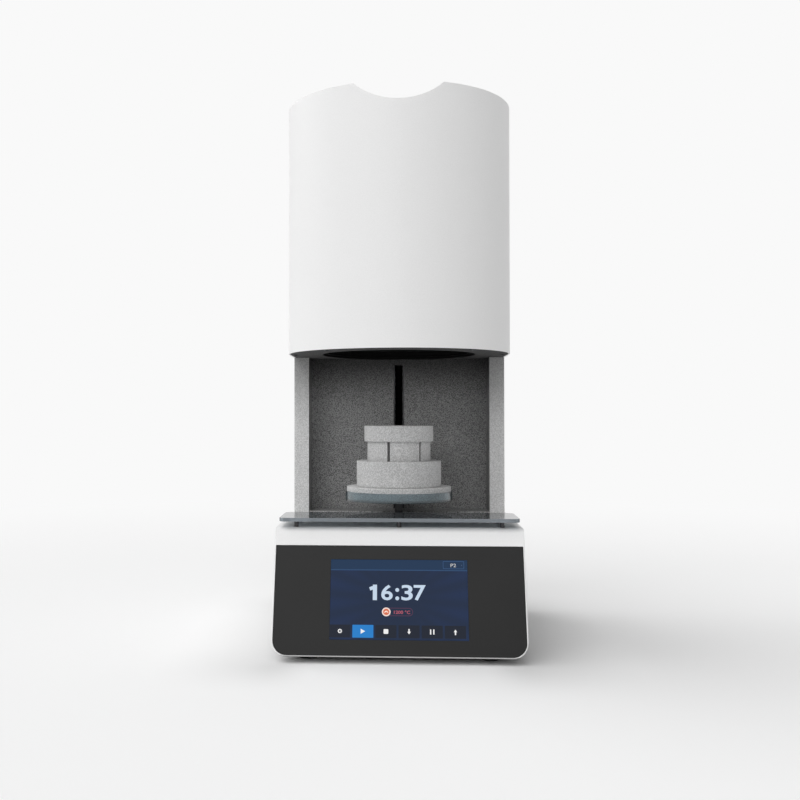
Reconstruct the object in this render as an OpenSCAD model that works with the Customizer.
// Bench-top dental sintering furnace, loaded from below by a motor-driven lift.
// Origin on the chamber axis at bench level. X to the right, Y to the rear, Z up, in millimetres.

/* [Hood] */
// Outer radius of the rounded hood front, which is also half the hood's width
hood_r = 160; // [156:0.5:161]
// Height of the hood's lower rim above the bench
hood_z = 404; // [404:1:412]
// Height of the hood wall
hood_h = 352; // [340:1:380]
// Half width of the scallop in the hood's front rim
scallop_half_w = 60; // [40:1:75]
// Depth of the scallop below the rim
scallop_depth = 24; // [12:1:26]
// Radius of the round mouth in the hood's underside
mouth_r = 110; // [106:1:114]
// Thickness of the painted sheet steel
sheet = 2; // [1.5:0.1:2.2]

/* [Base] */
// Width of the base
base_w = 326.4; // [325:0.2:332]
// Height of the base's flat top above the bench
base_top_z = 167.5; // [166:0.5:169]
// Height of the base's lower rim above the bench
base_bottom_z = 9; // [8:0.5:10]
// Depth of the base at its lower rim
base_depth = 408; // [406:1:416]
// Lean of the control front away from the vertical, in degrees
front_tilt = 20; // [18:0.5:21]
// Radius of the base's two lower corners, seen from the front
base_corner_r = 20; // [18:1:24]
// Radius of the edge between the control front and the flat top
brow_r = 11; // [8:1:14]

/* [Control panel] */
// Width of the rim that the base leaves beside and below the panel
panel_rim = 1.8; // [1.2:0.1:2.4]
// Height of the panel's upper edge above the bench
panel_top_z = 144.4; // [142:0.2:146]
// Radius of the panel's lower corners
panel_corner_r = 18.5; // [14:0.5:20]
// Width of the display
display_w = 177.4; // [160:0.2:190]
// Height of the display along the sloping panel
display_h = 103.6; // [96:0.2:110]

/* [Loading bay] */
// Distance of the column's front faces behind the chamber axis
wing_front_y = 74; // [70:1:78]
// Half the clear width of the bay
bay_half_w = 137.4; // [130:0.2:139]
// Distance of the bay's back wall behind the chamber axis
bay_back_y = 131; // [129:1:133]
// Width of the slot that the lift arm passes through
slot_w = 16; // [15:0.5:20]
// Height of the slot's upper end above the bench
slot_top_z = 395; // [394:1:400]

/* [Glass shelf] */
// Thickness of the smoked glass
glass_t = 5; // [4:0.5:6]
// Height of the air gap under the glass
glass_gap = 7.5; // [6:0.5:8]
// Half width of the glass
glass_half_w = 158.3; // [150:0.1:159]
// Distance of the glass's front edge before the chamber axis
glass_front_y = 153.6; // [150:0.2:156]
// Distance of the glass's rear edge before the chamber axis
glass_rear_y = 62.4; // [56:0.2:70]
// Radius of the standoffs under the glass
standoff_r = 3; // [2.5:0.1:4]

/* [Load stack] */
// Outer radius of the glass tray
tray_r = 77.5; // [76:0.1:79]
// Height of the tray's underside above the bench, with the lift down
tray_z = 192.7; // [192:0.1:194]
// Height of the tray's wall
tray_h = 13.5; // [12:0.1:15]
// Height of the ceramic plate that stands in the tray
plate_h = 17.2; // [16:0.1:18]
// Radius of the plug that closes the chamber mouth
plug_r = 61.1; // [58:0.1:62]
// Height of the plug
plug_h = 37; // [34:0.1:38]
// Outer radius of the slotted support ring
support_r = 45.9; // [42:0.1:47]
// Height of the support ring above the plug
support_h = 27.8; // [24:0.1:30]
// Number of slots in the support ring
support_slots = 6; // [3:1:8]
// Outer radius of the firing dish
dish_r = 50; // [48:0.5:54]
// Height of the firing dish
dish_h = 23; // [20:0.5:24]

/* [Chamber] */
// Radius of the throat that the plug enters
throat_r = 63; // [62.8:0.1:64]
// Radius of the hot zone
hot_r = 75; // [74:0.5:78]
// Radius of the circle on which the heating elements hang
element_pitch_r = 64; // [63:0.5:66]
// Number of U-shaped heating elements
elements = 4; // [2:1:4]

/* [Lift] */
// Radius of the two guide rods
rod_r = 6; // [5:0.5:6]
// Half the distance between the guide rods
rod_half_pitch = 45; // [40:1:46]
// Distance of the rods and the screw behind the chamber axis
rod_y = 165; // [164:0.5:166]
// Width of the lift arm
arm_w = 11; // [9:0.5:12]

/* [Hidden] */
$fn = 96;

// Small overlap that lets a cut pass cleanly through a face
cut = 1;

// Hood
hood_top_z = hood_z + hood_h;
shell_back_y = 200.5;
flange_w = 14;
scallop_r = (scallop_half_w * scallop_half_w + scallop_depth * scallop_depth) / (2 * scallop_depth);
scallop_reach = 50;
fit_gap = 0.2;
plate_corner_r = 4;
cover_corner_r = 3;
tab_len = 14;
tab_w = 22;
tab_angles = [-130, -50, 0, 180];
tab_screw_r = hood_r - sheet - tab_len / 2;
top_cover_drop = 30;
top_cover_z = hood_top_z - top_cover_drop;
vent_slot_w = 5;
vent_slot_len = 84;
vent_pitch = 15;
vent_count = 9;
vent_row_y = [-40, 70];

// Base
base_front_y = -base_depth / 2;
base_back_y = base_depth / 2;
base_half_w = base_w / 2;
base_t = 3;
base_front_t = 8;
base_rear_t = 10;
base_edge_r = 2;
tilt_tan = tan(front_tilt);
tilt_cos = cos(front_tilt);
ledge_y0 = base_front_y + 28;
ledge_y1 = base_back_y - 16;
ledge_x = base_half_w - base_corner_r - 10;
floor_t = 2;
floor_z = base_bottom_z + base_t;
floor_margin = 9.8;
floor_screw_y = [-140, 10, 160];
floor_vent_x = 62;
floor_vent_y = -70;
floor_vent_pitch = 14;
floor_vent_count = 7;
foot_r = 14;
foot_neck_r = 8;
foot_edge = 2;
foot_draft = 1.5;
foot_gap = 1;
foot_x = 118;
foot_front_y = -162;
foot_rear_y = 168;
lift_opening_half_w = 86;
lift_opening_y0 = bay_back_y + 6;
lift_opening_y1 = 199;

// Control panel, measured along the sloping front from the lower rim
panel_in = 1;
panel_t = 4;
panel_half_w = base_half_w - panel_rim;
panel_z0 = panel_rim / tilt_cos;
panel_z1 = (panel_top_z - base_bottom_z) / tilt_cos;
panel_top_r = 1;
panel_ledge = 8;
panel_gap = 0.15;
display_z0 = 22.3;
display_sunk = 0.1;
module_margin = 6;
module_t = 9;
module_rib_w = 12;
module_pocket = 2;
board_w = 150;
board_h = 80;
board_t = 1.6;
board_gap = 8;
pillar_in = 5;
pillar_r = 2.5;

// Parts on the control board, with the lower left corner of each and its size
connector_at = [[-60, 4], [-36, 4], [42, 4]];
connector_size = [18, 10, 8];
processor_at = [-14, 30];
processor_size = [28, 2, 28];
relay_at = [34, 40];
relay_size = [16, 6, 22];

// Power supply
supply_at = [52, -110];
supply_w = 70;
supply_len = 130;
supply_t = 2;
supply_wall_h = 34;
choke_at = [6, 8];
choke_size = [34, 44, 26];
capacitor_x = 20;
capacitor_y = [64, 86, 108];
capacitor_r = 8;
capacitor_h = 28;
supply_sink_at = [44, 10];
supply_sink_size = [20, 100, 12];

// Transformer
transformer_at = [-95, -55];
transformer_foot = [100, 90, 3];
core_size = [90, 44, 80];
core_leg_w = 26;
window_w = 18;
window_h = 44;
window_z = 21;
coil_size = [44, 76, 42];

// Power controller
controller_at = [-120, 50];
controller_w = 60;
controller_len = 70;
sink_base_h = 6;
fin_count = 8;
fin_w = 4;
fin_h = 24;
controller_box_y = 10;
controller_box_size = [60, 46, 24];

// Column and bay
wing_lip = 20;
wing_edge_r = 1.5;
liner_bend_r = 4;
liner_inner_r = 2;
cover_t = 1.5;
cover_margin = 1;
cover_z0 = base_top_z + 2;
cover_z1 = hood_top_z - 2;
cover_screw_x = hood_r - sheet - flange_w / 2;
cover_screw_z = [cover_z0 + 12, cover_z0 + 125, hood_z + 14, hood_z + 130, hood_z + 240, cover_z1 - 12];
louvre_len = 70;
louvre_w = 4;
louvre_pitch = 12;
louvre_groups = [[-60, 215, 8], [60, 215, 8], [-60, 620, 9], [60, 620, 9]];

// Rear panel, its inlet, switch and fan
rear_panel_y = 197;
rear_panel_t = 2;
rear_half_w = 151.5;
rear_z0 = 18.5;
rear_z1 = 156.5;
rear_ledge = 6;
rear_face_y = rear_panel_y + rear_panel_t;
inlet_x = -126;
switch_x = -92;
service_z = 62;
inlet_w = 27.4;
inlet_h = 20;
inlet_flange = 10;
inlet_flange_t = 2.5;
inlet_depth = 24;
inlet_wall = 1.6;
inlet_floor = 4;
pin_w = 2;
pin_h = 4;
pin_len = 15;
pin_tail = 5;
pin_rows = [[-7, -2.2], [7, -2.2], [0, 3]];
bezel_w = 19;
bezel_h = 30;
bezel_t = 1.5;
bezel_corner_r = 2;
switch_w = 13;
switch_h = 24;
switch_depth = 18;
switch_wall = 1.5;
rocker_pivot_y = rear_face_y - 4;
rocker_gap = 0.4;
rocker_end_gap = 0.3;
rocker_shoulder = 1;
rocker_tip = 4.6;
rocker_dip = 2.6;
rocker_root = 6;
rocker_root_half = 4;
rocker_lean = 8;
rocker_pin_r = 1.5;
fan_x = 112;
fan_z = 86;
fan_size = 60;
fan_depth = 15;
fan_bore_r = 28.5;
fan_hub_r = 12;
fan_blade_r = 27;
fan_blades = 7;
fan_blade_angle = 38;
fan_blade_t = 1.6;
fan_post_r = 4;
fan_post_short = 4;
fan_web = 2;
fan_spoke_w = 3;
fan_screw_pitch = 25;
fan_mount_r = 2;
fan_hole_r = 1.8;
rotor_gap = 1;
rotor_cap = 2;
blade_inset = 1;
blade_root = 2;
fan_mid_y = rear_panel_y - fan_depth / 2;
guard_wire_r = 0.9;
guard_rings = [8, 15, 22, 29];
guard_lap = 0.6;
guard_end = 2;
guard_eye_r = 4;
guard_eye_t = 2;

// Glass shelf
glass_z = base_top_z + glass_gap;
glass_front_r = 9;
glass_rear_r = 12;
standoff_x = [-136, 0, 136];
standoff_y = [-140, -76];

// Load stack
tray_wall = 2;
tray_floor = 3;
plate_z = tray_z + tray_floor;
plate_r = tray_r - tray_wall - 0.1;
plug_z = plate_z + plate_h;
plug_top_z = plug_z + plug_h;
support_seat = 3;
support_bore_r = 36;
support_slot_w = 4;
support_slot_start = -18.5;
dish_z = plug_top_z + support_h;
dish_wall = 6;
dish_floor = 6;
dish_spigot_h = 2;
dish_spigot_r = support_bore_r - 0.4;
edge_break = 0.8;

// Chamber
can_r = 142;
can_t = 1.5;
can_z = hood_z + sheet;
can_flange_r = 103;
throat_z = hood_z + 10;
insulation_r = can_r - can_t - 0.1;
shoulder_z = 451;
roof_z = 548;
roof_top_z = 608;
lid_opening_r = 86;
element_r = 3;
element_cold_r = 5.5;
element_bend_r = 12.5;
element_low_z = 466;
element_taper_z = roof_z + 4;
element_taper_h = 8;
element_first = 45;
holder_h = 12;
holder_len = 50;
holder_w = 22;
holder_corner_r = 5;
holder_bore_r = element_cold_r + 0.2;
roof_bore_r = element_cold_r + 0.7;
clamp_z = roof_top_z + holder_h + 2;
clamp_h = 10;
clamp_size = 15;
strap_t = 1.5;
strap_half_w = 6;
strap_lead = 8;
probe_r = 3;
probe_low_z = 490;
probe_head_r = 9;
probe_head_h = 22;

// Lift
bearing_plate_half_w = 65;
bearing_plate_y0 = 144;
frame_y0 = 188;
frame_t = 4;
frame_half_w = 80;
frame_z0 = floor_z + floor_t;
bearing_plate_t = 12;
bearing_plate_corner_r = 6;
lower_plate_z = 100;
upper_plate_z = 412;
lower_plate_top_z = lower_plate_z + bearing_plate_t;
screw_r = 6;
screw_gap = 1;
lower_journal_r = 5;
upper_journal_r = 4;
running_fit = 0.04;
lower_bearing_r = 15;
lower_bearing_h = 9;
upper_bearing_r = 11;
upper_bearing_h = 7;
bearing_relief_r = 8;
shield_share = 0.3;
groove_depth = 0.5;
motor_shelf_z = 66;
motor_shelf_t = 4;
motor_shelf_half_w = 30;
motor_size = 42.3;
motor_h = 46;
motor_boss_r = 11;
motor_boss_h = 2;
motor_cap_h = 9;
motor_bevel = 4;
motor_body_in = 1;
shaft_r = 2.5;
coupling_r = 9.5;
coupling_z = 73;
coupling_h = 20;
coupling_web = 1;
slit_in = 2.5;
slit_w = 1.5;
slit_depth = 3;
carriage_half_w = 62;
carriage_y0 = 148;
carriage_y1 = 182;
carriage_z = 140;
carriage_h = 60;
pocket_x = 24;
pocket_w = 12;
bush_r = 10.5;
bush_h = 26;
bush_groove_in = 4;
bush_groove_w = 1.2;
nut_r = 11;
nut_flange_r = 17;
nut_flange_h = 6;
nut_h = 30;
nut_hole_r = 1.8;
flag_z = 168;
flag_len = 9;
flag_t = 2;
flag_h = 4;
sensor_z = [164, 364];
sensor_h = 12;
sensor_gap = 4;
fork_len = 8;
fork_t = 4;
fork_open = 6;
sensor_stem_t = 5;
arm_top_z = tray_z;
arm_tip_y = -40;
arm_depth = 15.7;
arm_tip_r = 4;
arm_root_depth = 21;
arm_flange_t = 8;
arm_flange_half_w = 20;
arm_flange_z0 = 150;
arm_flange_z1 = 196;
arm_screw_x = 14;
arm_screw_z = [158, 188];
arm_hole_r = 2.1;
arm_tap_r = 2;
arm_tap_depth = 8;
tray_screw_y = [-28, 0, 28];
tray_screw_r = 2;
tray_screw_gap = 0.1;
tray_screw_reach = 8;
tray_tap_depth = 9;
countersink = 2;

// Screws
screw_head_r = 3;
screw_head_h = 1.8;
screw_shank_r = 1.5;
screw_len = 5;
screw_hole_r = 1.6;
screw_crown = 0.7;
cap_head_r = 3.5;
cap_head_h = 4;
cap_socket_r = 1.7;
cap_socket_h = 2.5;
cap_shank_r = 1.9;
cap_reach = 7;

// Unit vector along v
function unit(v) = v / norm(v);
// Arc of steps + 1 points that rounds the corner b between a and c with radius r
function corner_arc(a, b, c, r, steps) =
    let (u = unit(a - b), w = unit(c - b), half = acos(u * w) / 2, mid = b + unit(u + w) * r / sin(half))
    let (p = b + u * r / tan(half) - mid, q = b + w * r / tan(half) - mid)
    let (start = atan2(p.y, p.x), sweep = (180 - 2 * half) * sign(p.x * q.y - p.y * q.x))
    [for (i = [0:steps]) mid + r * [cos(start + sweep * i / steps), sin(start + sweep * i / steps)]];
// Outline through pts, each corner rounded by its entry in radii, or left sharp at 0
function rounded(pts, radii, steps = 6) =
    let (n = len(pts))
    [for (i = [0:n - 1]) each radii[i] <= 0 ? [pts[i]] :
        corner_arc(pts[(i + n - 1) % n], pts[i], pts[(i + 1) % n], radii[i], steps)];
// The same radius for all four corners of a rectangle
function all_four(r) = [r, r, r, r];
// Corners of a rectangle between two opposite points
function box_points(x0, y0, x1, y1) = [[x0, y0], [x1, y0], [x1, y1], [x0, y1]];

// Extrudes a plan drawn in Y and Z across the width w
module across(w) {
    rotate([90, 0, 90]) linear_extrude(w, center = true) children();
}

// Extrudes an elevation drawn in X and Z from y0 to y1
module front_to_back(y0, y1) {
    translate([0, y1, 0]) rotate([90, 0, 0]) linear_extrude(y1 - y0) children();
}

// Extrudes a plan drawn in X and Y from z0 to z1
module upright(z0, z1) {
    translate([0, 0, z0]) linear_extrude(z1 - z0) children();
}

// Places children on the sloping control front, with local Z running up the slope
module on_front() {
    translate([0, base_front_y, base_bottom_z]) rotate([-front_tilt, 0, 0]) children();
}

// Points a cylinder's axis to the rear
module facing_back() {
    rotate([-90, 0, 0]) children();
}

// Hood plan, a half round front with straight sides that run back to y
module d_plan(r, y) {
    intersection() {
        circle(r = r, $fn = 180);
        translate([-r, -r]) square([2 * r, r]);
    }
    translate([-r, 0]) square([2 * r, y]);
}

// Slot with round ends
module slot_plan(len, w) {
    square([len - w, w], center = true);
    for (s = [-1, 1]) translate([s * (len - w) / 2, 0]) circle(d = w, $fn = 24);
}

// Pan head screw that enters along -Z from the origin
module pan_screw() {
    cylinder(r1 = screw_head_r, r2 = screw_head_r * screw_crown, h = screw_head_h, $fn = 24);
    translate([0, 0, -screw_len]) cylinder(r = screw_shank_r, h = screw_len + cut / 2, $fn = 24);
}

// Places children at each hood tab, with local X pointing outwards
module at_tabs(z) {
    for (a = tab_angles) rotate([0, 0, a]) translate([0, 0, z]) children();
}

module tab() {
    translate([hood_r - sheet - tab_len, -tab_w / 2, 0]) cube([tab_len + sheet / 2, tab_w, sheet]);
}

module tab_holes(z) {
    at_tabs(z) translate([tab_screw_r, 0, -cut]) cylinder(r = screw_hole_r, h = sheet + 2 * cut, $fn = 24);
}

// Places children at each screw of the rear cover
module at_cover_screws() {
    for (s = [-1, 1], z = cover_screw_z) translate([s * cover_screw_x, shell_back_y + cover_t, z])
        facing_back() children();
}

// Bore for each screw of the rear cover, through the cover and the flange behind it
module cover_holes() {
    at_cover_screws() translate([0, 0, -screw_len]) cylinder(r = screw_hole_r, h = screw_len + cut, $fn = 24);
}

module hood_shell() {
    flange_x = hood_r - sheet - flange_w / 2;
    color("white") difference() {
        union() {
            upright(hood_z, hood_top_z) difference() {
                d_plan(hood_r, shell_back_y);
                d_plan(hood_r - sheet, shell_back_y + cut);
            }
            for (s = [-1, 1]) translate([s * flange_x, shell_back_y - sheet / 2, (hood_z + cover_z1) / 2])
                cube([flange_w + sheet, sheet, cover_z1 - hood_z], center = true);
            at_tabs(top_cover_z - 2 * sheet) tab();
            at_tabs(hood_z + sheet) tab();
        }
        translate([0, -hood_r - cut, hood_top_z - scallop_depth + scallop_r]) facing_back()
            cylinder(r = scallop_r, h = scallop_reach, $fn = 180);
        tab_holes(top_cover_z - 2 * sheet);
        tab_holes(hood_z + sheet);
        cover_holes();
    }
}

module top_cover() {
    first = -(vent_count - 1) / 2;
    color("lightgray") difference() {
        upright(top_cover_z - sheet, top_cover_z) difference() {
            d_plan(hood_r - sheet - fit_gap, shell_back_y - sheet - fit_gap);
            for (y = vent_row_y, i = [first:-first]) translate([i * vent_pitch, y]) rotate(90)
                slot_plan(vent_slot_len, vent_slot_w);
        }
        tab_holes(top_cover_z - sheet);
    }
}

module hood_bottom_plate() {
    color("dimgray") difference() {
        upright(hood_z, hood_z + sheet) difference() {
            d_plan(hood_r - sheet - fit_gap, bay_back_y);
            circle(r = mouth_r, $fn = 180);
        }
        tab_holes(hood_z);
    }
}

module chamber_can() {
    color("silver") translate([0, 0, can_z]) rotate_extrude($fn = 180) polygon([
        [can_flange_r, 0], [can_r, 0], [can_r, roof_top_z - can_z], [can_r - can_t, roof_top_z - can_z],
        [can_r - can_t, sheet], [can_flange_r, sheet]
    ]);
}

module can_lid() {
    color("silver") upright(roof_top_z, roof_top_z + sheet) difference() {
        circle(r = can_r);
        circle(r = lid_opening_r);
    }
}

// Lower insulation ring with a black coat, stepped up to the throat inside the can's flange
module insulation_lower() {
    low_z = can_z + sheet;
    color("dimgray") rotate_extrude() polygon([
        [throat_r, throat_z + edge_break], [throat_r + edge_break, throat_z],
        [can_flange_r, throat_z], [can_flange_r, low_z],
        [insulation_r, low_z], [insulation_r, shoulder_z], [throat_r, shoulder_z]
    ]);
}

module insulation_middle() {
    color("whitesmoke") upright(shoulder_z, roof_z) difference() {
        circle(r = insulation_r);
        circle(r = hot_r);
    }
}

// Places children at each heating element, with the two legs side by side along local X
module at_elements() {
    for (i = [0:elements - 1]) rotate([0, 0, element_first + i * 360 / elements])
        translate([element_pitch_r, 0, 0]) rotate([0, 0, 90]) children();
}

// Places children at each leg of one element
module at_legs() {
    for (s = [-1, 1]) translate([s * element_bend_r, 0, 0]) children();
}

module insulation_roof() {
    color("whitesmoke") difference() {
        upright(roof_z, roof_top_z) circle(r = insulation_r);
        at_elements() at_legs() translate([0, 0, roof_z - cut])
            cylinder(r = roof_bore_r, h = roof_top_z - roof_z + 2 * cut, $fn = 32);
        translate([0, element_pitch_r, roof_z - cut])
            cylinder(r = probe_r + fit_gap, h = roof_top_z - roof_z + 2 * cut, $fn = 32);
    }
}

// U-shaped elements with thin hot legs and thick cold ends
module heating_elements() {
    bend_z = element_low_z + element_bend_r + element_r;
    cold_z = element_taper_z + element_taper_h;
    color("darkslategray") at_elements() {
        at_legs() {
            translate([0, 0, bend_z]) cylinder(r = element_r, h = element_taper_z - bend_z, $fn = 32);
            translate([0, 0, element_taper_z])
                cylinder(r1 = element_r, r2 = element_cold_r, h = element_taper_h, $fn = 32);
            translate([0, 0, cold_z]) cylinder(r = element_cold_r, h = clamp_z + clamp_h - cold_z, $fn = 32);
        }
        translate([0, 0, bend_z]) facing_back() rotate_extrude(angle = 180, $fn = 48)
            translate([element_bend_r, 0]) circle(r = element_r, $fn = 32);
    }
}

module element_holders() {
    color("ivory") at_elements() difference() {
        upright(roof_top_z, roof_top_z + holder_h) polygon(rounded(
            box_points(-holder_len / 2, -holder_w / 2, holder_len / 2, holder_w / 2),
            all_four(holder_corner_r)));
        at_legs() translate([0, 0, roof_top_z - cut])
            cylinder(r = holder_bore_r, h = holder_h + 2 * cut, $fn = 32);
    }
}

module terminal_clamps() {
    color("silver") at_elements() at_legs() difference() {
        translate([0, 0, clamp_z + clamp_h / 2]) cube([clamp_size, clamp_size, clamp_h], center = true);
        translate([0, 0, clamp_z - cut]) cylinder(r = element_cold_r, h = clamp_h + 2 * cut, $fn = 32);
    }
}

// Straps that join neighbouring elements in series, with one gap left for the supply
module connection_straps() {
    pitch = 360 / elements;
    color("silver") for (i = [0:elements - 2]) rotate([0, 0, element_first + i * pitch + strap_lead])
        translate([0, 0, clamp_z + clamp_h]) rotate_extrude(angle = pitch - 2 * strap_lead)
            translate([element_pitch_r - strap_half_w, 0]) square([2 * strap_half_w, strap_t]);
}

module thermocouple() {
    color("ivory") translate([0, element_pitch_r, 0]) {
        translate([0, 0, probe_low_z]) cylinder(r = probe_r, h = roof_top_z - probe_low_z, $fn = 32);
        translate([0, 0, roof_top_z]) cylinder(r = probe_head_r, h = probe_head_h, $fn = 32);
    }
}

// Folded side of the column, with the front face, an inner lip and a rear flange
module column_side(side) {
    lip_x = bay_half_w + sheet;
    rear_x = hood_r - sheet - flange_w;
    pts = [
        [bay_half_w, wing_front_y], [hood_r, wing_front_y], [hood_r, shell_back_y], [rear_x, shell_back_y],
        [rear_x, shell_back_y - sheet], [hood_r - sheet, shell_back_y - sheet],
        [hood_r - sheet, wing_front_y + sheet], [lip_x + sheet, wing_front_y + sheet],
        [lip_x + sheet, wing_front_y + wing_lip], [lip_x, wing_front_y + wing_lip],
        [lip_x, wing_front_y + sheet], [bay_half_w, wing_front_y + sheet]
    ];
    radii = [0, wing_edge_r, 0, 0, 0, 0, 0, 0, 0, 0, 0, 0];
    color("gainsboro") difference() {
        mirror([side < 0 ? 1 : 0, 0, 0]) upright(base_top_z, hood_z) polygon(rounded(pts, radii));
        cover_holes();
    }
}

module column_side_left() {
    column_side(-1);
}

module column_side_right() {
    column_side(1);
}

// Back wall, side returns and floor of the bay
module bay_liner() {
    out_x = bay_half_w + sheet;
    pts = [
        [-out_x, wing_front_y + sheet], [-bay_half_w, wing_front_y + sheet],
        [-bay_half_w, bay_back_y], [bay_half_w, bay_back_y],
        [bay_half_w, wing_front_y + sheet], [out_x, wing_front_y + sheet],
        [out_x, bay_back_y + sheet], [-out_x, bay_back_y + sheet]
    ];
    radii = [0, 0, liner_inner_r, liner_inner_r, 0, 0, liner_bend_r, liner_bend_r];
    color("gray") {
        difference() {
            upright(base_top_z, hood_z) polygon(rounded(pts, radii));
            translate([-slot_w / 2, bay_back_y - cut, base_top_z + sheet])
                cube([slot_w, sheet + 2 * cut, slot_top_z - base_top_z - sheet]);
        }
        upright(base_top_z, base_top_z + sheet) polygon(rounded(
            box_points(-out_x, wing_front_y + sheet, out_x, bay_back_y + sheet),
            [0, 0, liner_bend_r, liner_bend_r]));
    }
}

module rear_cover() {
    half_w = hood_r - cover_margin;
    color("whitesmoke") difference() {
        front_to_back(shell_back_y, shell_back_y + cover_t) difference() {
            polygon(rounded(box_points(-half_w, cover_z0, half_w, cover_z1), all_four(cover_corner_r)));
            for (g = louvre_groups, i = [0:g[2] - 1]) translate([g[0], g[1] + i * louvre_pitch])
                slot_plan(louvre_len, louvre_w);
        }
        cover_holes();
    }
}

// Base elevation, with two rounded lower corners
module base_front_outline(inset) {
    x = base_half_w - inset;
    r = base_corner_r - inset;
    polygon(rounded(box_points(-x, base_bottom_z + inset, x, base_top_z - inset),
        [r, r, base_edge_r, base_edge_r], 10));
}

// Base side profile, inset from the front, the top, the rear and the bottom
module base_side_outline(front, top, rear, bottom) {
    z0 = base_bottom_z + bottom;
    z1 = base_top_z - top;
    y0 = base_front_y + front / tilt_cos;
    polygon(rounded([
        [y0 + bottom * tilt_tan, z0], [base_back_y - rear, z0],
        [base_back_y - rear, z1], [y0 + (z1 - base_bottom_z) * tilt_tan, z1]
    ], [0, 0, base_edge_r, max(brow_r - front, base_edge_r)], 10));
}

// Control panel outline on the sloping front, grown by extra
module panel_outline(extra) {
    x = panel_half_w + extra;
    r = panel_corner_r + extra;
    polygon(rounded(box_points(-x, panel_z0 - extra, x, panel_z1 + extra),
        [r, r, panel_top_r, panel_top_r], 10));
}

// Places children at each screw of the base floor
module at_floor_screws() {
    for (s = [-1, 1], y = floor_screw_y) translate([s * (ledge_x + floor_margin / 2), y, base_bottom_z])
        children();
}

// Places children at each screw of the rear panel
module at_rear_screws() {
    for (s = [-1, 1], z = [rear_z0 + rear_ledge / 2, rear_z1 - rear_ledge / 2])
        translate([s * (rear_half_w - rear_ledge / 2), rear_face_y, z]) facing_back() children();
}

module base_shell() {
    color("white") difference() {
        intersection() {
            across(base_w + cut) base_side_outline(0, 0, 0, 0);
            front_to_back(base_front_y - cut, base_back_y + cut) base_front_outline(0);
        }
        intersection() {
            across(base_w) base_side_outline(base_front_t, base_t, base_rear_t, base_t);
            front_to_back(base_front_y, base_back_y) base_front_outline(base_t);
        }
        upright(base_bottom_z - cut, floor_z + cut)
            polygon(box_points(-ledge_x, ledge_y0, ledge_x, ledge_y1));
        upright(base_top_z - base_t - cut, base_top_z + cut) polygon(box_points(
            -lift_opening_half_w, lift_opening_y0, lift_opening_half_w, lift_opening_y1 - rear_ledge));
        on_front() front_to_back(-base_t, panel_in + panel_t) panel_outline(panel_gap);
        on_front() front_to_back(panel_t, base_front_t + cut) panel_outline(-panel_ledge);
        front_to_back(rear_panel_y, base_back_y + cut) polygon(box_points(
            -rear_half_w - fit_gap, rear_z0 - fit_gap, rear_half_w + fit_gap, rear_z1 + fit_gap));
        front_to_back(base_back_y - base_rear_t - cut, base_back_y) polygon(box_points(
            -rear_half_w + rear_ledge, rear_z0 + rear_ledge, rear_half_w - rear_ledge, rear_z1 - rear_ledge));
        at_floor_screws() translate([0, 0, -cut]) cylinder(r = screw_hole_r, h = base_t + 2 * cut, $fn = 24);
        at_rear_screws() translate([0, 0, -screw_len]) cylinder(r = screw_hole_r, h = screw_len, $fn = 24);
    }
}

module base_floor() {
    x = ledge_x + floor_margin;
    color("silver") difference() {
        upright(floor_z, floor_z + floor_t) difference() {
            polygon(rounded(box_points(-x, ledge_y0 - floor_margin, x, ledge_y1 + floor_margin / 2),
                all_four(plate_corner_r)));
            for (s = [-1, 1], i = [0:floor_vent_count - 1])
                translate([s * floor_vent_x, floor_vent_y + i * floor_vent_pitch])
                    slot_plan(louvre_len, louvre_w);
        }
        at_floor_screws() translate([0, 0, base_t - cut])
            cylinder(r = screw_hole_r, h = floor_t + 2 * cut, $fn = 24);
    }
}

// Rubber feet with a neck up to the floor plate
module feet() {
    color("black") for (s = [-1, 1], y = [foot_front_y, foot_rear_y]) translate([s * foot_x, y, 0])
        rotate_extrude($fn = 48) polygon([
            [0, 0], [foot_r - foot_edge, 0], [foot_r, foot_edge],
            [foot_r - foot_draft, base_bottom_z - foot_gap], [foot_neck_r, base_bottom_z - foot_gap],
            [foot_neck_r, floor_z], [0, floor_z]
        ]);
}

module front_panel() {
    color([0.16, 0.16, 0.16]) on_front() difference() {
        front_to_back(panel_in, panel_in + panel_t) panel_outline(0);
        front_to_back(panel_in - cut, panel_in + panel_t + cut)
            polygon(box_points(-display_w / 2, display_z0, display_w / 2, display_z0 + display_h));
    }
}

module display_glass() {
    x = display_w / 2 - fit_gap / 2;
    color([0.12, 0.16, 0.28]) on_front() front_to_back(panel_in + display_sunk, panel_in + panel_t)
        polygon(box_points(-x, display_z0 + fit_gap / 2, x, display_z0 + display_h - fit_gap / 2));
}

module display_module() {
    x = display_w / 2 + module_margin;
    y0 = panel_in + panel_t;
    color("gray") on_front() difference() {
        front_to_back(y0, y0 + module_t) polygon(rounded(
            box_points(-x, display_z0 - module_margin, x, display_z0 + display_h + module_margin),
            all_four(cover_corner_r)));
        front_to_back(y0 + module_t - module_pocket, y0 + module_t + cut) polygon(box_points(
            module_rib_w - x, display_z0 + module_margin,
            x - module_rib_w, display_z0 + display_h - module_margin));
    }
}

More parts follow.
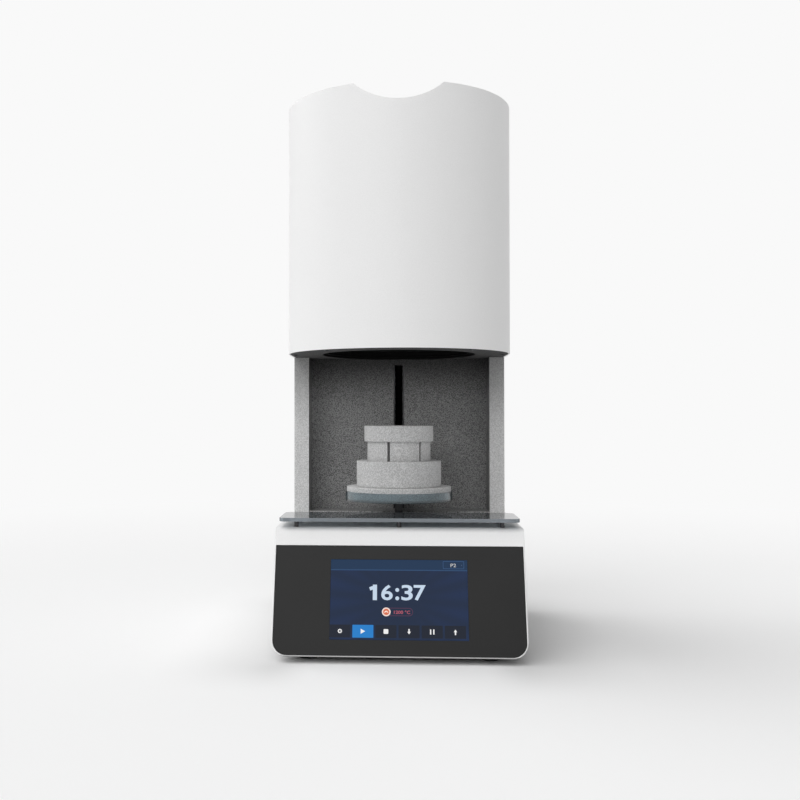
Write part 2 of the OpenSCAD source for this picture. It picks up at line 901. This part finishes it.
// Circuit board behind the display, with its pillars, connectors and chips
module control_board() {
    y0 = panel_in + panel_t + module_t + board_gap;
    z0 = display_z0 + (display_h - board_h) / 2;
    color("darkgreen") on_front() {
        front_to_back(y0, y0 + board_t) polygon(box_points(-board_w / 2, z0, board_w / 2, z0 + board_h));
        for (s = [-1, 1], z = [pillar_in, board_h - pillar_in])
            translate([s * (board_w / 2 - pillar_in), y0 - board_gap, z0 + z]) facing_back()
                cylinder(r = pillar_r, h = board_gap, $fn = 24);
        for (p = connector_at) translate([p.x, y0 + board_t, z0 + p.y]) cube(connector_size);
        translate([processor_at.x, y0 + board_t, z0 + processor_at.y]) cube(processor_size);
        translate([relay_at.x, y0 + board_t, z0 + relay_at.y]) cube(relay_size);
    }
}

// Open frame power supply in a folded metal tray
module power_supply() {
    color("silver") translate([supply_at.x, supply_at.y, frame_z0]) {
        cube([supply_w, supply_len, supply_t]);
        cube([supply_t, supply_len, supply_wall_h]);
        translate([0, 0, supply_t]) {
            translate(choke_at) cube(choke_size);
            for (y = capacitor_y) translate([capacitor_x, y, 0])
                cylinder(r = capacitor_r, h = capacitor_h, $fn = 32);
            translate(supply_sink_at) cube(supply_sink_size);
        }
    }
}

// Block that stands centred on its place at the height z
module standing(size, z) {
    translate([0, 0, z + size.z / 2]) cube(size, center = true);
}

// Laminated core with a copper winding round its middle leg, on a foot plate
module transformer() {
    coil_z = window_z + (window_h - coil_size.z) / 2;
    bore = [core_leg_w + 2 * fit_gap, core_size.y + 2 * fit_gap, window_h];
    color("darkorange") translate([transformer_at.x, transformer_at.y, frame_z0]) {
        standing(transformer_foot, 0);
        difference() {
            standing(core_size, transformer_foot.z);
            for (s = [-1, 1]) translate([s * (core_leg_w + window_w) / 2, 0, 0])
                standing([window_w, core_size.y + 2 * cut, window_h], window_z);
        }
        difference() {
            standing(coil_size, coil_z);
            standing(bore, window_z);
        }
    }
}

// Power controller on a finned heat sink
module power_controller() {
    pitch = (controller_w - fin_w) / (fin_count - 1);
    color("gray") translate([controller_at.x, controller_at.y, frame_z0]) {
        cube([controller_w, controller_len, sink_base_h]);
        for (i = [0:fin_count - 1]) translate([i * pitch, 0, sink_base_h])
            cube([fin_w, controller_len, fin_h]);
        translate([0, controller_box_y, sink_base_h + fin_h]) cube(controller_box_size);
    }
}

module rear_panel() {
    color("silver") difference() {
        front_to_back(rear_panel_y, rear_face_y) difference() {
            polygon(box_points(-rear_half_w, rear_z0, rear_half_w, rear_z1));
            translate([inlet_x, service_z]) square([inlet_w, inlet_h], center = true);
            translate([switch_x, service_z]) square([switch_w, switch_h], center = true);
            translate([fan_x, fan_z]) circle(r = fan_bore_r);
            for (x = [-1, 1], z = [-1, 1])
                translate([fan_x + x * fan_screw_pitch, fan_z + z * fan_screw_pitch])
                    circle(r = fan_hole_r, $fn = 24);
        }
        at_rear_screws() translate([0, 0, -screw_len])
            cylinder(r = screw_hole_r, h = screw_len + cut, $fn = 24);
    }
}

// Elevation of the inlet's socket, with its two upper corners cut off
module socket_outline(inset) {
    x = inlet_w / 2 - inset;
    z = inlet_h / 2 - inset;
    bevel = 5;
    polygon([[-x, -z], [x, -z], [x, z - bevel], [x - bevel, z], [bevel - x, z], [-x, z - bevel]]);
}

module mains_inlet() {
    y0 = rear_face_y - inlet_depth;
    flange_w = inlet_w / 2 + inlet_flange;
    flange_h = inlet_h / 2 + inlet_flange_t;
    color("black") translate([inlet_x, 0, service_z]) difference() {
        union() {
            front_to_back(y0, rear_face_y) square([inlet_w - fit_gap, inlet_h - fit_gap], center = true);
            front_to_back(rear_face_y, rear_face_y + inlet_flange_t) polygon(rounded(
                box_points(-flange_w, -flange_h, flange_w, flange_h), all_four(plate_corner_r)));
        }
        front_to_back(y0 + inlet_floor, rear_face_y + inlet_flange_t + cut) socket_outline(inlet_wall);
        for (p = pin_rows) translate([p.x, 0, p.y]) front_to_back(y0 - cut, y0 + inlet_floor + cut)
            square([pin_w, pin_h], center = true);
    }
}

// Three flat contact blades that stand in the socket
module inlet_pins() {
    y0 = rear_face_y - inlet_depth;
    color("silver") translate([inlet_x, 0, service_z]) for (p = pin_rows)
        translate([p.x, 0, p.y]) front_to_back(y0 - pin_tail, y0 + inlet_floor + pin_len)
            square([pin_w, pin_h], center = true);
}

module switch_bezel() {
    w = switch_w - fit_gap;
    h = switch_h - fit_gap;
    color("black") translate([switch_x, 0, service_z]) difference() {
        union() {
            front_to_back(rear_face_y - switch_depth, rear_face_y) square([w, h], center = true);
            front_to_back(rear_face_y, rear_face_y + bezel_t) polygon(rounded(
                box_points(-bezel_w / 2, -bezel_h / 2, bezel_w / 2, bezel_h / 2), all_four(bezel_corner_r)));
        }
        front_to_back(rear_face_y - switch_depth + switch_wall, rear_face_y + bezel_t + cut)
            square([w - 2 * switch_wall, h - 2 * switch_wall], center = true);
        translate([0, rocker_pivot_y, 0]) rotate([0, 90, 0])
            cylinder(r = rocker_pin_r, h = switch_w + cut, center = true, $fn = 32);
    }
}

// Side view of the rocker, a flattened V with a narrower root, drawn in Y and Z about its pin
module rocker_profile() {
    half = switch_h / 2 - switch_wall - 2 * rocker_gap - rocker_end_gap;
    polygon([
        [-rocker_root, -rocker_root_half], [-rocker_root, rocker_root_half], [rocker_shoulder, half],
        [rocker_tip, half], [rocker_dip, 0], [rocker_tip, -half], [rocker_shoulder, -half]
    ]);
}

// Power switch rocker with its cross pin
module power_rocker() {
    w = switch_w - fit_gap;
    color("red") translate([switch_x, rocker_pivot_y, service_z]) rotate([rocker_lean, 0, 0]) {
        across(w - 2 * switch_wall - 2 * rocker_gap) rocker_profile();
        rotate([0, 90, 0]) cylinder(r = rocker_pin_r - running_fit, h = w, center = true, $fn = 32);
    }
}

// Places children at the fan's centre with the axis to the rear
module at_fan() {
    translate([fan_x, fan_mid_y, fan_z]) facing_back() children();
}

// Square frame with four spokes and the post that the rotor turns on
module fan_frame() {
    half = fan_size / 2;
    low = -fan_depth / 2;
    color("black") at_fan() difference() {
        union() {
            difference() {
                translate([0, 0, low]) linear_extrude(fan_depth)
                    polygon(rounded(box_points(-half, -half, half, half), all_four(plate_corner_r)));
                translate([0, 0, low - cut]) cylinder(r = fan_bore_r, h = fan_depth + 2 * cut);
            }
            translate([0, 0, low]) cylinder(r = fan_hub_r, h = fan_web);
            translate([0, 0, low]) cylinder(r = fan_post_r, h = fan_depth - fan_post_short);
            for (a = [45:90:315]) rotate([0, 0, a]) translate([fan_hub_r - cut, -fan_spoke_w / 2, low])
                cube([fan_bore_r - fan_hub_r + 2 * cut, fan_spoke_w, fan_web]);
        }
        for (x = [-1, 1], y = [-1, 1]) translate([x * fan_screw_pitch, y * fan_screw_pitch, low - cut])
            cylinder(r = fan_mount_r, h = fan_depth + 2 * cut, $fn = 24);
    }
}

// Hub with pitched blades, bored for the post
module fan_rotor() {
    h = fan_depth - fan_web - 2 * rotor_gap;
    low = -fan_depth / 2 + fan_web + rotor_gap;
    blade_len = fan_blade_r - fan_hub_r + 2 * blade_root;
    color("dimgray") at_fan() difference() {
        union() {
            translate([0, 0, low]) cylinder(r = fan_hub_r, h = h);
            intersection() {
                translate([0, 0, low + blade_inset]) difference() {
                    cylinder(r = fan_blade_r, h = h - 2 * blade_inset);
                    translate([0, 0, -cut]) cylinder(r = fan_hub_r - cut / 2, h = h);
                }
                for (i = [0:fan_blades - 1]) rotate([0, 0, i * 360 / fan_blades])
                    translate([(fan_blade_r + fan_hub_r) / 2, 0, low + h / 2]) rotate([fan_blade_angle, 0, 0])
                        cube([blade_len, fan_blade_t, 2 * h], center = true);
            }
        }
        translate([0, 0, low - cut]) cylinder(r = fan_post_r + running_fit, h = h - rotor_cap + cut);
    }
}

// Wire guard over the fan opening
module fan_guard() {
    color("silver") translate([fan_x, rear_face_y + guard_wire_r, fan_z]) facing_back() {
        for (r = guard_rings) rotate_extrude($fn = 64) translate([r, 0]) circle(r = guard_wire_r, $fn = 16);
        for (a = [45, 135]) rotate([0, 0, a]) translate([0, 0, guard_wire_r * guard_lap]) rotate([0, 90, 0])
            cylinder(
                r = guard_wire_r, h = 2 * (fan_screw_pitch * sqrt(2) + guard_end), center = true, $fn = 16);
        for (x = [-1, 1], y = [-1, 1]) translate([x * fan_screw_pitch, y * fan_screw_pitch, -guard_wire_r])
            difference() {
                cylinder(r = guard_eye_r, h = guard_eye_t, $fn = 32);
                translate([0, 0, -cut]) cylinder(r = fan_hole_r, h = guard_eye_t + 2 * cut, $fn = 24);
            }
    }
}

// All the M3 pan head screws of the covers, panels and floor
module panel_screws() {
    color("silver") {
        at_tabs(top_cover_z) translate([tab_screw_r, 0, 0]) pan_screw();
        at_tabs(hood_z) translate([tab_screw_r, 0, 0]) mirror([0, 0, 1]) pan_screw();
        at_cover_screws() pan_screw();
        at_rear_screws() pan_screw();
        at_floor_screws() mirror([0, 0, 1]) pan_screw();
    }
}

// Polished posts between the base and the glass
module shelf_standoffs() {
    color("silver") for (x = standoff_x, y = standoff_y) translate([x, y, base_top_z])
        cylinder(r = standoff_r, h = glass_gap, $fn = 48);
}

module glass_shelf() {
    color([0.3, 0.36, 0.4, 0.6]) upright(glass_z, glass_z + glass_t) polygon(rounded(
        box_points(-glass_half_w, -glass_front_y, glass_half_w, -glass_rear_y),
        [glass_front_r, glass_front_r, glass_rear_r, glass_rear_r], 12));
}

// Back plate of the lift, with its foot and the shelf that carries the motor
module lift_frame() {
    foot_y = 150;
    color("silver") difference() {
        union() {
            translate([-frame_half_w, frame_y0, frame_z0])
                cube([2 * frame_half_w, frame_t, upper_plate_z + bearing_plate_t - frame_z0]);
            translate([-frame_half_w, foot_y, frame_z0]) cube([2 * frame_half_w, frame_y0 - foot_y, frame_t]);
            translate([-motor_shelf_half_w, rod_y - motor_size / 2, motor_shelf_z])
                cube([2 * motor_shelf_half_w, frame_y0 - rod_y + motor_size / 2, motor_shelf_t]);
        }
        translate([0, rod_y, motor_shelf_z - cut])
            cylinder(r = motor_boss_r + fit_gap, h = motor_shelf_t + 2 * cut);
    }
}

// Plate between the lift frame and the rods, with two rod bores and a bearing seat
module bearing_plate(z, seat_z, seat_r, seat_h, relief_r) {
    difference() {
        upright(z, z + bearing_plate_t) polygon(rounded(
            box_points(-bearing_plate_half_w, bearing_plate_y0, bearing_plate_half_w, frame_y0),
            [bearing_plate_corner_r, bearing_plate_corner_r, 0, 0]));
        for (s = [-1, 1]) translate([s * rod_half_pitch, rod_y, z - cut])
            cylinder(r = rod_r, h = bearing_plate_t + 2 * cut);
        translate([0, rod_y, seat_z]) cylinder(r = seat_r, h = seat_h);
        translate([0, rod_y, z - cut]) cylinder(r = relief_r, h = bearing_plate_t + 2 * cut);
    }
}

module lower_bearing_plate() {
    color("lightgray") bearing_plate(lower_plate_z, lower_plate_top_z - lower_bearing_h,
        lower_bearing_r, lower_bearing_h + cut, bearing_relief_r);
}

module upper_bearing_plate() {
    color("lightgray") bearing_plate(upper_plate_z, upper_plate_z - cut,
        upper_bearing_r, upper_bearing_h + cut, bearing_relief_r - 1);
}

module guide_rods() {
    color("silver") for (s = [-1, 1]) translate([s * rod_half_pitch, rod_y, lower_plate_z])
        cylinder(r = rod_r, h = upper_plate_z + bearing_plate_t - lower_plate_z);
}

// Ball bearing, drawn as one ring with the grooves of its two shields
module ball_bearing(r, bore_r, h) {
    groove_in = bore_r + (r - bore_r) * shield_share;
    groove_out = r - (r - bore_r) * shield_share;
    low = groove_depth;
    high = h - groove_depth;
    rotate_extrude() polygon([
        [bore_r, 0], [groove_in, 0], [groove_in, low], [groove_out, low], [groove_out, 0], [r, 0],
        [r, h], [groove_out, h], [groove_out, high], [groove_in, high], [groove_in, h], [bore_r, h]
    ]);
}

module lower_bearing() {
    color("silver") translate([0, rod_y, lower_plate_top_z - lower_bearing_h])
        ball_bearing(lower_bearing_r, lower_journal_r + running_fit, lower_bearing_h);
}

module upper_bearing() {
    color("silver") translate([0, rod_y, upper_plate_z])
        ball_bearing(upper_bearing_r, upper_journal_r + running_fit, upper_bearing_h);
}

// Forked optical end-of-travel sensors, each on a stem from the lift frame
module limit_sensors() {
    fork_x = carriage_half_w + sensor_gap;
    fork_y = rod_y - fork_open / 2 - fork_t;
    color("black") for (z = sensor_z) {
        for (y = [fork_y, rod_y + fork_open / 2]) translate([fork_x, y, z])
            cube([fork_len + cut, fork_t, sensor_h]);
        translate([fork_x + fork_len, fork_y, z]) cube([sensor_stem_t, frame_y0 - fork_y, sensor_h]);
    }
}

// Square stepper motor with bevelled corners, end caps and a round boss
module lift_motor() {
    half = motor_size / 2;
    body = half - motor_body_in;
    color("dimgray") translate([0, rod_y, motor_shelf_z]) difference() {
        union() {
            for (z = [-motor_h, -motor_cap_h]) translate([0, 0, z]) linear_extrude(motor_cap_h)
                polygon(rounded(box_points(-half, -half, half, half), all_four(motor_bevel), 1));
            translate([0, 0, motor_cap_h - motor_h]) linear_extrude(motor_h - 2 * motor_cap_h)
                polygon(rounded(box_points(-body, -body, body, body), all_four(2 * motor_bevel), 1));
            cylinder(r = motor_boss_r, h = motor_boss_h);
        }
        translate([0, 0, -motor_h / 2]) cylinder(r = shaft_r + running_fit, h = motor_h, $fn = 32);
    }
}

module motor_shaft() {
    z0 = motor_shelf_z - motor_h / 2 + cut;
    color("silver") translate([0, rod_y, z0])
        cylinder(r = shaft_r, h = coupling_z + (coupling_h - coupling_web) / 2 - z0, $fn = 32);
}

// Clamp coupling with one blind bore for each shaft
module shaft_coupling() {
    bore_h = (coupling_h - coupling_web) / 2;
    color("silver") translate([0, rod_y, coupling_z]) difference() {
        cylinder(r = coupling_r, h = coupling_h);
        translate([0, 0, -cut]) cylinder(r = shaft_r, h = bore_h + cut, $fn = 32);
        translate([0, 0, coupling_h - bore_h]) cylinder(r = lower_journal_r, h = bore_h + cut);
        for (z = [slit_in, coupling_h - slit_in - slit_w])
            translate([coupling_r - slit_depth, -coupling_r, z])
                cube([slit_depth + cut, 2 * coupling_r, slit_w]);
    }
}

// Screw with a journal at each end, drawn at its outer diameter
module lead_screw() {
    z0 = coupling_z + coupling_h - (coupling_h - coupling_web) / 2;
    thread_z0 = lower_plate_top_z + screw_gap;
    thread_z1 = upper_plate_z - screw_gap;
    color("gray") translate([0, rod_y, 0]) {
        translate([0, 0, z0]) cylinder(r = lower_journal_r, h = thread_z0 - z0);
        translate([0, 0, thread_z0]) cylinder(r = screw_r, h = thread_z1 - thread_z0);
        translate([0, 0, thread_z1]) cylinder(r = upper_journal_r, h = bearing_plate_t - 2 * screw_gap);
    }
}

module carriage() {
    color("lightgray") {
        difference() {
            upright(carriage_z, carriage_z + carriage_h) polygon(rounded(
                box_points(-carriage_half_w, carriage_y0, carriage_half_w, carriage_y1),
                all_four(plate_corner_r)));
            for (s = [-1, 1]) translate([s * rod_half_pitch, rod_y, carriage_z - cut])
                cylinder(r = bush_r, h = carriage_h + 2 * cut);
            translate([0, rod_y, carriage_z - cut]) cylinder(r = nut_r, h = carriage_h + 2 * cut);
            for (s = [-1, 1])
                translate([s * pocket_x - pocket_w / 2, carriage_y1 - pocket_w, carriage_z - cut])
                    cube([pocket_w, pocket_w + cut, carriage_h + 2 * cut]);
            for (x = [-1, 1], z = arm_screw_z)
                translate([x * arm_screw_x, carriage_y0 - cut, z]) facing_back()
                    cylinder(r = arm_tap_r, h = arm_tap_depth + cut, $fn = 24);
        }
        translate([carriage_half_w - cut, rod_y - flag_t / 2, flag_z]) cube([flag_len + cut, flag_t, flag_h]);
    }
}

module linear_bearings() {
    color("silver") for (s = [-1, 1], z = [carriage_z, carriage_z + carriage_h - bush_h])
        translate([s * rod_half_pitch, rod_y, z]) difference() {
            cylinder(r = bush_r, h = bush_h);
            translate([0, 0, -cut]) cylinder(r = rod_r + running_fit, h = bush_h + 2 * cut);
            for (z = [bush_groove_in, bush_h - bush_groove_in - bush_groove_w]) translate([0, 0, z])
                difference() {
                    cylinder(r = bush_r + cut, h = bush_groove_w);
                    cylinder(r = bush_r - groove_depth, h = bush_groove_w);
                }
        }
}

module lead_nut() {
    top_z = carriage_z + carriage_h;
    color("goldenrod") translate([0, rod_y, top_z]) difference() {
        union() {
            translate([0, 0, -nut_h]) cylinder(r = nut_r, h = nut_h);
            cylinder(r = nut_flange_r, h = nut_flange_h);
        }
        translate([0, 0, -nut_h - cut])
            cylinder(r = screw_r + running_fit, h = nut_h + nut_flange_h + 2 * cut);
        for (a = [45:90:315]) rotate([0, 0, a]) translate([(nut_r + nut_flange_r) / 2, 0, -cut])
            cylinder(r = nut_hole_r, h = nut_flange_h + 2 * cut, $fn = 24);
    }
}

// Cantilever arm that runs through the slot, deeper at its root, with a bolted flange
module lift_arm() {
    root_y = carriage_y0 - arm_flange_t;
    color([0.2, 0.2, 0.2]) difference() {
        union() {
            across(arm_w) polygon(rounded([
                [arm_tip_y, arm_top_z], [arm_tip_y, arm_top_z - arm_depth], [0, arm_top_z - arm_depth],
                [root_y, arm_top_z - arm_root_depth], [root_y + cut, arm_top_z - arm_root_depth],
                [root_y + cut, arm_top_z]
            ], [0, arm_tip_r, 0, 0, 0, 0]));
            front_to_back(root_y, carriage_y0) polygon(rounded(
                box_points(-arm_flange_half_w, arm_flange_z0, arm_flange_half_w, arm_flange_z1),
                all_four(plate_corner_r)));
        }
        for (x = [-1, 1], z = arm_screw_z) translate([x * arm_screw_x, root_y - cut, z]) facing_back()
            cylinder(r = arm_hole_r, h = arm_flange_t + 2 * cut, $fn = 24);
        for (y = tray_screw_y) translate([0, y, arm_top_z - tray_tap_depth])
            cylinder(r = tray_screw_r, h = tray_tap_depth + cut, $fn = 24);
    }
}

// Cap screws that hold the arm's flange to the carriage
module arm_screws() {
    color("black") for (x = [-1, 1], z = arm_screw_z)
        translate([x * arm_screw_x, carriage_y0 - arm_flange_t, z]) facing_back() {
            translate([0, 0, -cap_head_h]) difference() {
                cylinder(r = cap_head_r, h = cap_head_h, $fn = 32);
                translate([0, 0, -cut]) cylinder(r = cap_socket_r, h = cap_socket_h + cut, $fn = 6);
            }
            cylinder(r = cap_shank_r, h = arm_flange_t + cap_reach, $fn = 24);
        }
}

// Shallow pan of smoked glass that holds the ceramic plate
module tray_pan() {
    color([0.3, 0.36, 0.4, 0.6]) translate([0, 0, tray_z]) difference() {
        rotate_extrude($fn = 180) polygon([
            [0, 0], [tray_r - edge_break, 0], [tray_r, edge_break], [tray_r, tray_h],
            [tray_r - tray_wall, tray_h], [tray_r - tray_wall, tray_floor], [0, tray_floor]
        ]);
        for (y = tray_screw_y) translate([0, y, 0]) {
            translate([0, 0, -cut]) cylinder(r = tray_screw_r, h = tray_floor + cut, $fn = 24);
            translate([0, 0, tray_floor - countersink])
                cylinder(r1 = tray_screw_r, r2 = tray_screw_r + countersink, h = countersink, $fn = 24);
        }
    }
}

// Countersunk screws between the pan and the arm
module tray_screws() {
    r = tray_screw_r - tray_screw_gap;
    color("silver") for (y = tray_screw_y) translate([0, y, tray_z]) {
        translate([0, 0, -tray_screw_reach])
            cylinder(r = r, h = tray_screw_reach + tray_floor - countersink + cut / 2, $fn = 24);
        translate([0, 0, tray_floor - countersink])
            cylinder(r1 = r, r2 = r + countersink, h = countersink, $fn = 24);
    }
}

// Round ceramic piece from z0 with softened edges
module ceramic_disc(r, z0, h) {
    translate([0, 0, z0]) rotate_extrude($fn = 180) polygon([
        [0, 0], [r - edge_break, 0], [r, edge_break], [r, h - edge_break], [r - edge_break, h], [0, h]
    ]);
}

module sealing_plate() {
    color("lightgray") ceramic_disc(plate_r, plate_z, plate_h);
}

// Plug that closes the chamber, with a round seat for the support ring
module chamber_plug() {
    color("lightgray") difference() {
        ceramic_disc(plug_r, plug_z, plug_h);
        translate([0, 0, plug_top_z - support_seat])
            cylinder(r = support_r + fit_gap, h = support_seat + cut);
    }
}

// Ring that carries the dish, slotted from its top down to the plug
module support_ring() {
    color("lightgray") difference() {
        upright(plug_top_z - support_seat, dish_z) difference() {
            circle(r = support_r);
            circle(r = support_bore_r);
        }
        for (i = [0:support_slots - 1]) rotate([0, 0, support_slot_start - 90 + i * 360 / support_slots])
            translate([support_bore_r - cut, -support_slot_w / 2, plug_top_z])
                cube([support_r - support_bore_r + 2 * cut, support_slot_w, support_h + cut]);
    }
}

// Open dish for the work, with a spigot that centres it in the support ring
module firing_dish() {
    color("whitesmoke") difference() {
        union() {
            ceramic_disc(dish_r, dish_z, dish_h);
            translate([0, 0, dish_z - dish_spigot_h]) cylinder(r = dish_spigot_r, h = dish_spigot_h + cut);
        }
        translate([0, 0, dish_z + dish_floor]) cylinder(r = dish_r - dish_wall, h = dish_h);
    }
}

hood_shell();
top_cover();
hood_bottom_plate();
chamber_can();
can_lid();
insulation_lower();
insulation_middle();
insulation_roof();
heating_elements();
element_holders();
terminal_clamps();
connection_straps();
thermocouple();
column_side_left();
column_side_right();
bay_liner();
rear_cover();
base_shell();
base_floor();
feet();
front_panel();
display_glass();
display_module();
control_board();
power_supply();
transformer();
power_controller();
rear_panel();
mains_inlet();
inlet_pins();
switch_bezel();
power_rocker();
fan_frame();
fan_rotor();
fan_guard();
panel_screws();
shelf_standoffs();
glass_shelf();
lift_frame();
lower_bearing_plate();
upper_bearing_plate();
guide_rods();
lower_bearing();
upper_bearing();
limit_sensors();
lift_motor();
motor_shaft();
shaft_coupling();
lead_screw();
carriage();
linear_bearings();
lead_nut();
lift_arm();
arm_screws();
tray_pan();
tray_screws();
sealing_plate();
chamber_plug();
support_ring();
firing_dish();
